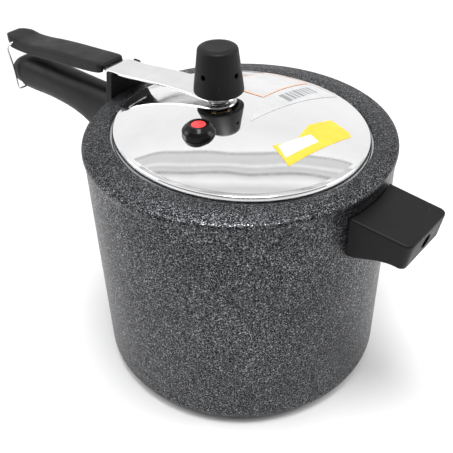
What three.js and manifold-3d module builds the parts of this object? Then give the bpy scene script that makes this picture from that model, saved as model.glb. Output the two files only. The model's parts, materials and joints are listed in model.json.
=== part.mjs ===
// Inner-lid stovetop pressure cooker: an oval lid is drawn up against the inside of the pot's
// mouth by a sprung strap that rocks on a fork and is held down by a wire bail.
// Millimetres, +Z up, origin at the centre of the base, long handle along -X.
import * as THREE from "three";
import { mergeVertices } from "three/addons/utils/BufferGeometryUtils.js";
import Module from "manifold-3d";

const wasm = await Module();
wasm.setup();

// ---- Driving dimensions ----
const GAP = 0.3; // between pieces that touch
const OVAL_STEPS = 56; // facets round the pot and the lid

const POT = { radius: 110, wall: 2.5, base: 4, corner: 12, wallTop: 181, bead: 1.2 };
const MOUTH = { a: 95.8, b: 86.9, z: 190, under: 187.5 };
const LID = { a: 94.2, b: 85.3, edge: 192.3, crown: 208.5, thick: 2.2 };
const FLANGE = { reach: 7.3, top: 183.2, bottom: 180.7 };
const GASKET = { reach: 6.8, clear: 0.4, top: 186.5 };

const STEM = { x: -18, radius: 4, bore: 1.4, bottom: 199.4, tip: 228 };
const STRAP = { halfWidth: 12.5, tangHalfWidth: 9.5, thick: 2, end: -216 };
const FORK = { inner: -112.3, outer: -118.3, slotHalfWidth: 13, saddle: 202.2, tip: 204.8 };

const WEIGHT = { rim: 17.8, top: 13.6, rimZ: 214.9, skirtZ: 214.2, crownZ: 246.5, ventZ: 229 };
const VALVE = { x: -1.5, y: -40.6, radius: 11.3, height: 6.2, foot: 5 };

const GRIP_SCREWS = [-150, -200];
const BAIL = { pivotX: -241.5, pivotZ: 195.8, barX: -244.5, barZ: 151.2, legY: 15, wire: 1 };
const HELPER = { outer: 150, halfWidth: 25.6, top: 174.4, axisZ: 161.5 };

// ---- Finishes ----
const finish = (color, roughness, metalness) =>
  new THREE.MeshStandardMaterial({ color, roughness, metalness });

const HAMMERED = finish(0x4a4c50, 0.38, 0.5);
const POLISHED = finish(0xe6e7e8, 0.08, 1);
const BRUSHED = finish(0xb9bbbd, 0.35, 1);
const STEEL = finish(0xc9cbcd, 0.22, 1);
const BRASS = finish(0xb9975a, 0.3, 1);
const PHENOLIC = finish(0x1b1b1c, 0.55, 0);
const SILICONE = finish(0x5c5e60, 0.7, 0);
const RED = finish(0xd8383c, 0.35, 0);

// ---- Solids ----
function solidOf(geometry) {
  const plain = geometry.clone();
  plain.deleteAttribute("normal");
  plain.deleteAttribute("uv");
  const merged = mergeVertices(plain, 1e-4);
  return new wasm.Manifold(
    new wasm.Mesh({
      numProp: 3,
      vertProperties: merged.attributes.position.array,
      triVerts: new Uint32Array(merged.index.array),
    }),
  );
}

function geometryOf(solid) {
  const mesh = solid.getMesh();
  const geometry = new THREE.BufferGeometry();
  geometry.setAttribute("position", new THREE.BufferAttribute(mesh.vertProperties, 3));
  geometry.setIndex(new THREE.BufferAttribute(mesh.triVerts, 1));
  geometry.computeVertexNormals();
  return geometry;
}

// Cuts every tool out of the blank.
function cut(blank, ...tools) {
  return tools.reduce((solid, tool) => solid.subtract(tool), blank);
}

// A closed skin over rings of equal point count, with a flat cap on the first and the last ring.
// Each ring runs anticlockwise about the direction in which the rings follow each other.
function loft(rings) {
  const count = rings[0].length;
  const points = rings.flat();
  const index = [];
  const quad = (a, b, c, d) => index.push(a, b, c, a, c, d);
  for (let r = 0; r + 1 < rings.length; r++) {
    for (let j = 0; j < count; j++) {
      const next = (j + 1) % count;
      const low = r * count;
      const high = low + count;
      quad(low + j, low + next, high + next, high + j);
    }
  }
  const cap = (ring, flipped) => {
    const first = ring * count;
    const middle = new THREE.Vector3();
    rings[ring].forEach((point) => middle.addScaledVector(point, 1 / count));
    const hub = points.push(middle) - 1;
    for (let j = 0; j < count; j++) {
      const a = first + j;
      const b = first + ((j + 1) % count);
      index.push(hub, flipped ? b : a, flipped ? a : b);
    }
  };
  cap(0, true);
  cap(rings.length - 1, false);
  const geometry = new THREE.BufferGeometry().setFromPoints(points);
  geometry.setIndex(index);
  return solidOf(geometry);
}

// An oval turned about +Z: each ring is [semi-axis along X, semi-axis along Y, z].
function ovalTurned(profile) {
  return loft(
    profile.map(([a, b, z]) =>
      Array.from({ length: OVAL_STEPS }, (_, j) => {
        const t = (2 * Math.PI * j) / OVAL_STEPS;
        return new THREE.Vector3(a * Math.cos(t), b * Math.sin(t), z);
      }),
    ),
  );
}

// A round solid turned about +Z from points [radius, z] that start and end on the axis
// and climb on the outside.
function turned(profile, steps = 24) {
  const points = profile.map(([r, z]) => new THREE.Vector2(r, z));
  return solidOf(new THREE.LatheGeometry(points, steps).rotateX(Math.PI / 2));
}

const disc = (radius, low, high, steps = 24) =>
  turned([[0, low], [radius, low], [radius, high], [0, high]], steps);

function box(low, high) {
  const size = high.map((v, i) => v - low[i]);
  const middle = high.map((v, i) => (v + low[i]) / 2);
  return solidOf(new THREE.BoxGeometry(...size).translate(...middle));
}

// The outline [x, z] drawn from the side, as thick as 2 * halfWidth along Y.
function sideExtrusion(outline, halfWidth) {
  const shape = new THREE.Shape(outline.map(([x, z]) => new THREE.Vector2(x, z)));
  const geometry = new THREE.ExtrudeGeometry(shape, { depth: 2 * halfWidth, bevelEnabled: false });
  return solidOf(geometry.rotateX(Math.PI / 2).translate(0, halfWidth, 0));
}

// The shape [x, y] drawn from above, between two heights.
function planExtrusion(shape, low, high) {
  const settings = { depth: high - low, bevelEnabled: false, curveSegments: 8 };
  return solidOf(new THREE.ExtrudeGeometry(shape, settings).translate(0, 0, low));
}

// A rectangle with round corners, drawn from above.
function roundedRectangle(x0, x1, y0, y1, radius) {
  const shape = new THREE.Shape();
  const quarter = Math.PI / 2;
  shape.absarc(x1 - radius, y1 - radius, radius, 0, quarter);
  shape.absarc(x0 + radius, y1 - radius, radius, quarter, 2 * quarter);
  shape.absarc(x0 + radius, y0 + radius, radius, 2 * quarter, 3 * quarter);
  shape.absarc(x1 - radius, y0 + radius, radius, 3 * quarter, 4 * quarter);
  return shape;
}

// A bar along -X through sections { x, top, bottom, half, square }: a higher square
// exponent gives a boxier cross-section.
function bar(sections, count = 24) {
  const power = (value, exponent) => Math.sign(value) * Math.abs(value) ** exponent;
  return loft(
    sections.map(({ x, top, bottom, half, square }) =>
      Array.from({ length: count }, (_, j) => {
        const t = (2 * Math.PI * (j + 0.5)) / count;
        const y = half * power(Math.cos(t), 2 / square);
        const z = (top + bottom) / 2 - ((top - bottom) / 2) * power(Math.sin(t), 2 / square);
        return new THREE.Vector3(x, y, z);
      }),
    ),
  );
}

// Straight-line reading of a curve given as [x, z] points in order of falling x.
function heightAt(curve, x) {
  const next = curve.findIndex(([px]) => px <= x);
  const [x1, z1] = curve[next];
  const [x0, z0] = curve[Math.max(next - 1, 0)];
  return x0 === x1 ? z1 : z0 + ((z1 - z0) * (x - x0)) / (x1 - x0);
}

const hexNut = (acrossFlats, bore, low, high) =>
  cut(
    disc(acrossFlats / Math.sqrt(3), low, high, 6),
    disc(bore, low - 1, high + 1, 24),
  );

const ring = (outer, inner, low, high) => cut(disc(outer, low, high), disc(inner, low - 1, high + 1));

// A round wire through the given points, with flat ends.
function wireAlong(points, radius, sides, steps) {
  const section = new THREE.Shape();
  Array.from({ length: sides }, (_, i) => (2 * Math.PI * i) / sides).forEach((t, i) => {
    const x = radius * Math.cos(t);
    const y = radius * Math.sin(t);
    if (i === 0) section.moveTo(x, y);
    else section.lineTo(x, y);
  });
  const path = new THREE.CatmullRomCurve3(points, false, "centripetal");
  return solidOf(new THREE.ExtrudeGeometry(section, { extrudePath: path, steps, bevelEnabled: false }));
}

const part = (name, solid, material) => {
  const mesh = new THREE.Mesh(geometryOf(solid), material);
  mesh.name = name;
  return mesh;
};

// ---- Pot ----
const RIVET = { shank: 2.5, head: 4.6, headHeight: 1.8, plate: 2 };
// Each rivet is [angle round the pot, height].
const LONG_RIVETS = [[180, 128], [180, 164]];
const HELPER_RIVETS = [[-6, HELPER.axisZ], [6, HELPER.axisZ]];

// A solid made along +Z is laid along the pot's radius, at an angle from +X and a height z.
const radial = (solid, angle, z) =>
  solid.rotate([0, 90, 0]).rotate([0, 0, angle]).translate([0, 0, z]);

function arc(centreR, centreZ, radius, from, to, steps) {
  return Array.from({ length: steps + 1 }, (_, i) => {
    const t = THREE.MathUtils.degToRad(from + ((to - from) * i) / steps);
    return [centreR + radius * Math.cos(t), centreZ + radius * Math.sin(t)];
  });
}

function makePot() {
  const { radius, wall, base, corner, wallTop, bead } = POT;
  const round = ([r, z]) => [r, r, z];
  const lip = (grow, z) => [MOUTH.a + grow, MOUTH.b + grow, z];
  const inner = radius - wall;
  const shell = ovalTurned([
    ...arc(radius - corner, corner, corner, -90, 0, 4).map(round),
    round([radius, wallTop]),
    round([radius + 0.8 * bead, wallTop + 2]),
    round([radius + bead, wallTop + 4]),
    round([radius + 0.6 * bead, wallTop + 6]),
    round([radius - 1.5, wallTop + 7.4]),
    lip(1.6, MOUTH.z),
    lip(0.5, MOUTH.z - 0.2),
    lip(0, MOUTH.z - 0.8),
    lip(0, MOUTH.under + 0.4),
    lip(0.8, MOUTH.under),
    round([radius - 4.5, MOUTH.under - 0.7]),
    round([inner, wallTop + 3]),
    ...arc(inner - corner + 3, base + corner - 3, corner - 3, 0, -90, 3).map(round),
  ]);
  return cut(
    shell,
    ...[...LONG_RIVETS, ...HELPER_RIVETS].map(([angle, z]) => rivetHole(angle, z)),
  );
}

// A rivet along the radius: dome head inside the pot, flat head over the bracket's plate.
function makeRivet() {
  const { shank, head, headHeight, plate } = RIVET;
  const inside = POT.radius - POT.wall - 2 * GAP;
  const outside = POT.radius + plate + 2 * GAP;
  return turned([
    [0, inside - headHeight],
    [0.6 * head, inside - 0.8 * headHeight],
    [head, inside],
    [shank, inside],
    [shank, outside],
    [head - 0.4, outside],
    [head - 0.8, outside + headHeight],
    [0, outside + headHeight],
  ], 14);
}

const rivetHole = (angle, z) => radial(disc(RIVET.shank + GAP, 100, 120, 16), angle, z);

// ---- Brackets on the pot's wall ----
const outsideOfWall = (grow) => disc(POT.radius + grow, 90, 200, 96);

// A plate curved with the wall, halfWidth wide each way, between two heights, on the +X side.
function wallPlate(halfWidth, low, high) {
  const blank = planExtrusion(
    roundedRectangle(90, 130, -halfWidth, halfWidth, 0.5), low, high,
  );
  const outer = disc(POT.radius + GAP + RIVET.plate, low - 1, high + 1, 96);
  return cut(blank.intersect(outer), disc(POT.radius + GAP, low - 2, high + 2, 96));
}

// Half widths of the two wall plates, and the height of the long handle's plate.
const BRACKET = { handleHalf: 11, handleLow: 120, handleHigh: 172, helperHalf: 17, helperReach: 8 };
const TONGUE = { end: -150, halfWidth: 7, low: 140, high: 148 };
const HANDLE_SCREW_X = -138;

function makeHandleBracket() {
  const { handleHalf, handleLow, handleHigh } = BRACKET;
  const plate = wallPlate(handleHalf, handleLow, handleHigh).rotate([0, 0, 180]);
  const { end, halfWidth, low, high } = TONGUE;
  const tongue = box([end, -halfWidth, low], [-POT.radius - 1.2, halfWidth, high]);
  return cut(
    plate.add(tongue),
    disc(2.1, low - 1, high + 1, 20).translate([HANDLE_SCREW_X, 0, 0]),
    ...LONG_RIVETS.map(([angle, z]) => rivetHole(angle, z)),
  );
}

const BOSS = { radius: 5.5, end: 122, tap: 1.8 };

function makeHelperBracket() {
  const { helperHalf, helperReach } = BRACKET;
  const plate = wallPlate(helperHalf, HELPER.axisZ - helperReach, HELPER.axisZ + helperReach);
  const boss = radial(disc(BOSS.radius, POT.radius + 1, BOSS.end), 0, HELPER.axisZ);
  return cut(
    plate.add(boss),
    radial(disc(BOSS.tap + GAP, POT.radius - 5, BOSS.end + 5, 20), 0, HELPER.axisZ),
    ...HELPER_RIVETS.map(([angle, z]) => rivetHole(angle, z)),
  );
}

// ---- Lower handle with its fork ----
const LOWER_HANDLE = [
  { x: -104, top: 178, bottom: 108, half: 18.5, square: 3.2 },
  { x: -113, top: 180, bottom: 109, half: 18.5, square: 3.2 },
  { x: -120, top: 181, bottom: 112, half: 16.5, square: 3 },
  { x: -128, top: 181.3, bottom: 118, half: 14.8, square: 2.8 },
  { x: -140, top: 181.2, bottom: 129, half: 13.6, square: 2.7 },
  { x: -154, top: 181, bottom: 139.5, half: 13, square: 2.6 },
  { x: -169, top: 181, bottom: 146.6, half: 13, square: 2.6 },
  { x: -186, top: 181.2, bottom: 150, half: 13, square: 2.6 },
  { x: -208, top: 181.4, bottom: 151.4, half: 13, square: 2.6 },
  { x: -230, top: 181.4, bottom: 150.8, half: 13, square: 2.6 },
  { x: -241, top: 180.4, bottom: 150.8, half: 12.8, square: 2.6 },
  { x: -242.8, top: 180, bottom: 153.1, half: 12.7, square: 2.6 },
  { x: -249, top: 177.4, bottom: 153.6, half: 12, square: 2.6 },
  { x: -254, top: 173.6, bottom: 155, half: 10.6, square: 2.5 },
  { x: -257.6, top: 168.4, bottom: 157.6, half: 7.6, square: 2.3 },
  { x: -258.6, top: 165.4, bottom: 160.4, half: 4, square: 2 },
];

// The fork's plate, drawn from the end: it widens downwards and carries two round-tipped ears.
const PLATE = { footHalf: 22, footZ: 172, waistHalf: 19, waistZ: 184, earHalf: 15.6, ridge: 1.4 };

function makeForkPlate() {
  const { inner, outer, slotHalfWidth, saddle, tip } = FORK;
  const { footHalf, footZ, waistHalf, waistZ, earHalf, ridge } = PLATE;
  const earRadius = (earHalf - slotHalfWidth) / 2;
  const shape = new THREE.Shape();
  shape.moveTo(-footHalf, footZ);
  shape.lineTo(footHalf, footZ);
  shape.lineTo(waistHalf, waistZ);
  shape.lineTo(earHalf, tip - earRadius);
  shape.absarc(earHalf - earRadius, tip - earRadius, earRadius, 0, Math.PI);
  shape.lineTo(slotHalfWidth, saddle);
  shape.lineTo(-slotHalfWidth, saddle);
  shape.absarc(earRadius - earHalf, tip - earRadius, earRadius, 0, Math.PI);
  shape.lineTo(-waistHalf, waistZ);
  const settings = { depth: inner - outer, bevelEnabled: false, curveSegments: 6 };
  const geometry = new THREE.ExtrudeGeometry(shape, settings);
  // Shape x becomes Y and shape y becomes Z, with the thickness along X.
  const turn = new THREE.Matrix4().makeBasis(
    new THREE.Vector3(0, 1, 0), new THREE.Vector3(0, 0, 1), new THREE.Vector3(1, 0, 0),
  );
  const plate = solidOf(geometry.applyMatrix4(turn).translate(outer, 0, 0));
  // The saddle is a ridge, so that the strap can rock on it.
  const middle = (inner + outer) / 2;
  const above = sideExtrusion([
    [outer - 1, tip], [outer - 1, saddle - ridge], [middle, saddle], [inner + 1, saddle - ridge],
    [inner + 1, tip],
  ], slotHalfWidth - 0.01);
  return cut(plate, above);
}

// Room inside the handle's root for the bracket's plate and its rivets' heads.
const PLATE_POCKET = { end: -124, halfWidth: 12, low: 118.5, high: 173.5 };
const HANDLE_SCREW = { shankBore: 2.4, shankTop: 146, headBore: 4.8, headSeat: 136 };

function makeLowerHandle() {
  const body = bar(LOWER_HANDLE);
  const { end, halfWidth, low, high } = TONGUE;
  const { shankBore, shankTop, headBore, headSeat } = HANDLE_SCREW;
  const pocket = PLATE_POCKET;
  const clearance = 2 * GAP;
  return cut(
    body.add(makeForkPlate()),
    outsideOfWall(POT.bead + 2 * GAP),
    box([pocket.end, -pocket.halfWidth, pocket.low], [-100, pocket.halfWidth, pocket.high]),
    box([end - clearance, -halfWidth - GAP, low - GAP], [-100, halfWidth + GAP, high + GAP]),
    disc(shankBore, 100, shankTop, 20).translate([HANDLE_SCREW_X, 0, 0]),
    disc(headBore, 100, headSeat, 24).translate([HANDLE_SCREW_X, 0, 0]),
  );
}

// Pan-head screw pointing up, its head's underside at z = 0.
const panScrew = (head, headHeight, shank, length) =>
  turned([
    [0, -headHeight],
    [0.75 * head, -headHeight],
    [head, -0.45 * headHeight],
    [head, 0],
    [shank, 0],
    [shank, length - 0.6],
    [shank - 0.6, length],
    [0, length],
  ], 14);

// ---- Helper handle ----
const HELPER_UNDERSIDE = [[104, 144], [113, 145.4], [122, 148.6], [131, 151.4], [140, 152.6]];
const HELPER_HOLES = { shank: 2.2, recess: 5, recessFloor: 129 };

function makeHelperHandle() {
  const { outer, halfWidth, top, axisZ } = HELPER;
  const side = sideExtrusion([
    ...HELPER_UNDERSIDE, [outer - 3, 152], [outer, top - 3.4], [outer - 0.8, top - 2.8],
    [104, top + 0.6],
  ], halfWidth + 1);
  const plan = new THREE.Shape();
  const corner = 5;
  const outerHalf = halfWidth - 1.2;
  plan.moveTo(100, -halfWidth);
  plan.lineTo(outer - corner, -outerHalf);
  plan.absarc(outer - corner, corner - outerHalf, corner, -Math.PI / 2, 0);
  plan.absarc(outer - corner, outerHalf - corner, corner, 0, Math.PI / 2);
  plan.lineTo(100, halfWidth);
  const along = (radius, from, to) => radial(disc(radius, from, to, 24), 0, axisZ);
  return cut(
    side.intersect(planExtrusion(plan, 130, 190)),
    outsideOfWall(2 * GAP),
    box([100, -BRACKET.helperHalf - 1, axisZ - 9], [118, BRACKET.helperHalf + 1, axisZ + 9]),
    along(BOSS.radius + GAP, 100, BOSS.end + GAP),
    along(HELPER_HOLES.shank, 100, 150),
    along(HELPER_HOLES.recess, HELPER_HOLES.recessFloor, 150),
  );
}

// ---- Lid ----
const DOME_POWER = 2;
const DOME_EDGE = LID.a - 1.7;
const DOME_RINGS = [6, 18, 34, 50, 66, 80];
const domeHeight = (a) =>
  LID.edge + (LID.crown - LID.edge) * (1 - (a / DOME_EDGE) ** DOME_POWER);

// Rings of the dome, raised or lowered, from the middle outwards.
const domeRings = (rise) =>
  DOME_RINGS.map((a) => [a, (a * LID.b) / LID.a, domeHeight(a) + rise]);

function makeLid() {
  const beyond = (grow, z) => [LID.a + grow, LID.b + grow, z];
  const shell = ovalTurned([
    ...domeRings(-LID.thick),
    beyond(-5.4, LID.edge - LID.thick),
    beyond(-LID.thick, LID.edge - LID.thick - 2),
    beyond(-LID.thick, FLANGE.bottom + 1.6),
    beyond(-0.6, FLANGE.bottom),
    beyond(FLANGE.reach - 0.4, FLANGE.bottom),
    beyond(FLANGE.reach, FLANGE.bottom + 0.4),
    beyond(FLANGE.reach, FLANGE.top - 0.4),
    beyond(FLANGE.reach - 0.4, FLANGE.top),
    beyond(1.2, FLANGE.top),
    beyond(0, FLANGE.top + 1.2),
    beyond(0, LID.edge - 2.1),
    beyond(-0.5, LID.edge - 0.8),
    beyond(-1.7, LID.edge),
    ...domeRings(0).reverse(),
  ]);
  return cut(
    shell,
    disc(STEM.radius + GAP, 180, 215, 24).translate([STEM.x, 0, 0]),
    disc(VALVE.foot + GAP, 180, 210, 24).translate([VALVE.x, VALVE.y, 0]),
  );
}

function makeGasket() {
  const at = (grow, z) => [LID.a + grow, LID.b + grow, z];
  const low = FLANGE.top + GAP;
  const { reach, clear, top } = GASKET;
  const outside = ovalTurned([at(reach - 0.4, low), at(reach, low + 0.5), at(reach, top - 0.5),
    at(reach - 0.4, top)]);
  const fillet = 1.2;
  return cut(outside, ovalTurned([at(clear + fillet, low - 2), at(clear + fillet, low + 0.4),
    at(clear, low + 1.4), at(clear, top + 2)]));
}

// ---- Strap ----
const STRAP_TOP = [
  [-4, 211.9], [-34, 211.7], [-60, 210.2], [-86, 207.4], [-108, 205], [-120, 204.5], [-128, 203.2],
  [-136, 201.9], [-150, 200.5], [-165, 199], [-182, 197.4], [-200, 195.8], [-217, 194.4],
];

const strapTop = (x) => heightAt(STRAP_TOP, x);
const offsetCurve = (curve, rise) => curve.map(([x, z]) => [x, z + rise]);

function strapOutline() {
  const { halfWidth, tangHalfWidth, end } = STRAP;
  const shape = new THREE.Shape();
  const shoulder = -120;
  const neck = -129;
  const corner = 3;
  shape.absarc(STEM.x, 0, halfWidth, -Math.PI / 2, Math.PI / 2);
  shape.lineTo(shoulder, halfWidth);
  shape.lineTo(neck, tangHalfWidth);
  shape.absarc(end + corner, tangHalfWidth - corner, corner, Math.PI / 2, Math.PI);
  shape.absarc(end + corner, corner - tangHalfWidth, corner, Math.PI, 1.5 * Math.PI);
  shape.lineTo(neck, -tangHalfWidth);
  shape.lineTo(shoulder, -halfWidth);
  return shape;
}

function makeStrap() {
  const ribbon = sideExtrusion(
    [...STRAP_TOP, ...offsetCurve(STRAP_TOP, -STRAP.thick).reverse()].reverse(), STRAP.halfWidth + 1,
  );
  return cut(
    ribbon.intersect(planExtrusion(strapOutline(), 180, 220)),
    disc(STEM.radius + GAP, 190, 220, 24).translate([STEM.x, 0, 0]),
    ...GRIP_SCREWS.map((x) => disc(2.3, 180, 220, 16).translate([x, 0, 0])),
  );
}

// ---- Upper grip ----
const GRIP_SECTIONS = [
  { x: -127.6, top: 205.4, bottom: 200.8, half: 9.5 },
  { x: -129, top: 206, bottom: 199.2, half: 11.6 },
  { x: -133, top: 206.1, bottom: 197.6, half: 13 },
  { x: -155, top: 204.8, bottom: 194.6, half: 13 },
  { x: -184, top: 202.8, bottom: 192, half: 13 },
  { x: -205, top: 200.7, bottom: 190, half: 13 },
  { x: -222, top: 198.6, bottom: 188.8, half: 13 },
  { x: -234, top: 198, bottom: 188.6, half: 13 },
  { x: -245, top: 199, bottom: 189, half: 13 },
  { x: -252, top: 199.4, bottom: 191.4, half: 10 },
  { x: -256, top: 199, bottom: 194.2, half: 7.6 },
].map((section) => ({ ...section, square: 6 }));

function makeUpperGrip() {
  const roof = STRAP_TOP.filter(([x]) => x < -110);
  const recess = sideExtrusion(
    [...offsetCurve(roof, GAP), [STRAP.end - 2, 194.8], [STRAP.end - 2, 180], [-112, 180]].reverse(),
    STRAP.tangHalfWidth + GAP + 0.2,
  );
  const pivotHole = (from, to) =>
    disc(BAIL.wire + GAP, from, to, 16).rotate([-90, 0, 0]).translate([BAIL.pivotX, 0, BAIL.pivotZ]);
  return cut(
    bar(GRIP_SECTIONS, 28),
    recess,
    pivotHole(8.4, 20),
    pivotHole(-20, -8.4),
    ...GRIP_SCREWS.map((x) => disc(2, 180, strapTop(x) + 3.6, 16).translate([x, 0, 0])),
  );
}

// A grip screw's head bears on the strap's underside, with room for the strap's slope.
function makeGripScrew(x) {
  const seat = strapTop(x) - STRAP.thick - 0.7;
  return panScrew(4, 2, 1.7, strapTop(x) + 3.2 - seat).translate([x, 0, seat]);
}

// ---- Vent stem and its fittings ----
const stemSolid = (solid) => solid.translate([STEM.x, 0, 0]);
const SEAL_RADIUS = 9;
const SPACER_RADIUS = 7.5;
const LID_UNDER = domeHeight(34) - LID.thick; // lowest point over the washer
const LID_OVER = domeHeight(-STEM.x - SPACER_RADIUS); // highest point under the spacer

function makeStem() {
  const { radius, bore, bottom, tip } = STEM;
  return stemSolid(
    cut(
      turned([
        [0, bottom], [SEAL_RADIUS, bottom], [SEAL_RADIUS, bottom + 3], [radius, bottom + 3],
        [radius, tip - 5],
        [bore + 1, tip], [0, tip],
      ]),
      disc(bore, bottom - 1, tip + 1, 16),
    ),
  );
}

const makeStemSeal = () =>
  stemSolid(ring(SEAL_RADIUS, STEM.radius + GAP, STEM.bottom + 3 + GAP, LID_UNDER - GAP));

const makeStemSpacer = () =>
  stemSolid(
    ring(SPACER_RADIUS, STEM.radius + GAP, LID_OVER + GAP, strapTop(STEM.x) - STRAP.thick - GAP),
  );

const makeSpringWasher = () => {
  const low = strapTop(STEM.x) + GAP;
  const washer = ring(7, STEM.radius + GAP, low, low + 1.1);
  return stemSolid(cut(washer, box([3, -0.5, low - 1], [9, 0.5, low + 3])));
};

const makeStemNut = () => {
  const low = strapTop(STEM.x) + 2 * GAP + 1.1;
  return stemSolid(hexNut(13, STEM.radius + GAP, low, low + 4));
};

// ---- Pressure weight ----
const CORE = { radius: 8.6, low: 222, high: 240 };

function makeWeightCover() {
  const { rim, top, rimZ, skirtZ, crownZ, ventZ } = WEIGHT;
  const outside = turned([
    [0, skirtZ], [rim - 0.7, skirtZ], [rim, rimZ], [top + 0.6, crownZ - 2.6], [top - 1, crownZ - 0.6],
    [top - 3, crownZ], [0, crownZ],
  ], 40);
  const inside = turned([
    [0, skirtZ - 1], [rim - 4.6, skirtZ - 1], [rim - 4.6, rimZ + 4], [CORE.radius + GAP, rimZ + 8],
    [CORE.radius + GAP, CORE.high + GAP], [0, CORE.high + GAP],
  ], 32);
  const vents = [0, 90, 180, 270].map((angle) =>
    disc(2, 6, rim + 2, 12).rotate([0, 90, angle]).translate([0, 0, ventZ]),
  );
  return cut(outside, inside, ...vents).translate([STEM.x, 0, 0]);
}

function makeWeightCore() {
  const { radius, low, high } = CORE;
  const socket = turned([
    [0, low - 1], [STEM.radius + 0.8, low - 1], [STEM.radius + 0.8, STEM.tip - 5 + GAP],
    [STEM.bore + 1 + GAP, STEM.tip + GAP], [0, STEM.tip + GAP],
  ], 24);
  return stemSolid(
    cut(turned([[0, low], [radius, low], [radius, high], [0, high]], 32), socket),
  );
}

// ---- Safety valve ----
const VALVE_TOP = domeHeight(Math.hypot(VALVE.x, VALVE.y * (LID.a / LID.b)));
const VALVE_BASE = VALVE_TOP + GAP;
const VALVE_UNDER = VALVE_TOP - LID.thick - 2.1; // the lid slopes a little over the seal
const VALVE_FOOT = VALVE_UNDER - 5;
const PLUNGER = { head: 5.2, seat: VALVE_BASE + 3.2, pin: 1.4, crown: VALVE_BASE + VALVE.height };
const SPRING = { roof: VALVE_BASE + 0.4, chamber: 3.5, coil: 2.5, wire: 0.35, turns: 3 };
const valveSolid = (solid) => solid.translate([VALVE.x, VALVE.y, 0]);

// The housing's underside follows the dome and its threaded foot passes down through the lid.
// The spring sits in its lower chamber and the plunger's head in the recess at its top.
function makeValveHousing() {
  const { radius, foot } = VALVE;
  const { head, seat, pin, crown } = PLUNGER;
  const skirt = VALVE_BASE - 3;
  const outside = valveSolid(turned([
    [0, skirt], [radius, skirt], [radius, VALVE_BASE + 1.6], [radius - 1.4, VALVE_BASE + 3.9],
    [head + 2, crown], [0, crown],
  ]));
  const dome = ovalTurned([[84, 76, 180], [84, 76, domeHeight(84)], ...domeRings(GAP).reverse()]);
  return cut(
    cut(outside, dome).add(valveSolid(disc(foot, VALVE_FOOT, VALVE_BASE + 1))),
    valveSolid(disc(SPRING.chamber, VALVE_FOOT - 1, SPRING.roof, 20)),
    valveSolid(disc(pin + GAP, VALVE_FOOT, crown + 1, 16)),
    valveSolid(disc(head + GAP, seat, crown + 1, 24)),
  );
}

// The red plunger's head closes the recess, and its pin runs down through the spring.
function makePlunger() {
  const { head, seat, pin, crown } = PLUNGER;
  return valveSolid(turned([
    [0, VALVE_FOOT], [pin, VALVE_FOOT], [pin, seat + GAP], [head, seat + GAP],
    [head, crown - 0.8], [head - 0.8, crown], [0, crown],
  ], 20));
}

const CLIP = { radius: 3, low: VALVE_FOOT + 0.4, thick: 0.9 };

const makePlungerClip = () =>
  valveSolid(ring(CLIP.radius, PLUNGER.pin + GAP, CLIP.low, CLIP.low + CLIP.thick));

// The spring pushes the clip, and so the plunger, down from the chamber's roof.
function makeValveSpring() {
  const { roof, coil, wire, turns } = SPRING;
  const low = CLIP.low + CLIP.thick + GAP + wire;
  const high = roof - GAP - wire;
  const points = Array.from({ length: 12 * turns + 1 }, (_, i) => {
    const t = (2 * Math.PI * i) / 12;
    const z = low + ((high - low) * i) / (12 * turns);
    return new THREE.Vector3(coil * Math.cos(t), coil * Math.sin(t), z);
  });
  return valveSolid(wireAlong(points, wire, 5, 33));
}

const makeValveSeal = () =>
  valveSolid(ring(9, VALVE.foot + GAP, VALVE_UNDER - 1.6, VALVE_UNDER - 0.1));

const makeValveNut = () =>
  valveSolid(hexNut(14, VALVE.foot + GAP, VALVE_UNDER - 4.4, VALVE_UNDER - 1.6 - GAP));

// ---- Wire bail ----
// One leg from the grip's bore out and down to the middle of the cross-bar, then its mirror.
function makeBail() {
  const { pivotX, pivotZ, barX, barZ, legY, wire } = BAIL;
  const leg = [
    [pivotX, 9, pivotZ],
    [pivotX, 12, pivotZ],
    [pivotX - 0.3, legY - 1, pivotZ - 0.4],
    [pivotX - 3, legY, pivotZ - 2],
    [pivotX - 6.6, legY, pivotZ - 6],
    [pivotX - 6.4, legY, pivotZ - 10],
    [pivotX - 4.6, legY, pivotZ - 20],
    [barX - 0.6, legY, barZ + 14],
    [barX, legY, barZ + 4],
    [barX, legY - 1, barZ + 1],
    [barX, legY - 4, barZ],
    [barX, 4, barZ],
  ].map(([x, y, z]) => new THREE.Vector3(x, y, z));
  const mirrored = leg.map((p) => new THREE.Vector3(p.x, -p.y, p.z)).reverse();
  return wireAlong([...leg, ...mirrored], wire, 8, 56);
}

// ---- Assembly ----
const cooker = new THREE.Group();

const potGroup = new THREE.Group();
potGroup.add(
  part("pot_body", makePot(), HAMMERED),
  part("handle_bracket", makeHandleBracket(), BRUSHED),
  part("lower_handle", makeLowerHandle(), PHENOLIC),
  part(
    "lower_handle_screw",
    panScrew(4.3, 2.6, 1.8, 12).translate([HANDLE_SCREW_X, 0, HANDLE_SCREW.headSeat - 0.6]),
    STEEL,
  ),
  part("helper_bracket", makeHelperBracket(), BRUSHED),
  part("helper_handle", makeHelperHandle(), PHENOLIC),
);
const helperScrew = panScrew(4.4, 2.6, 1.7, 15)
  .rotate([0, -90, 0])
  .translate([HELPER_HOLES.recessFloor + 0.4, 0, HELPER.axisZ]);
potGroup.add(part("helper_screw", helperScrew, STEEL));
LONG_RIVETS.forEach(([angle, z], i) => {
  potGroup.add(part(`handle_rivet_${i + 1}`, radial(makeRivet(), angle, z), BRUSHED));
});
HELPER_RIVETS.forEach(([angle, z], i) => {
  potGroup.add(part(`helper_rivet_${i + 1}`, radial(makeRivet(), angle, z), BRUSHED));
});

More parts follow.
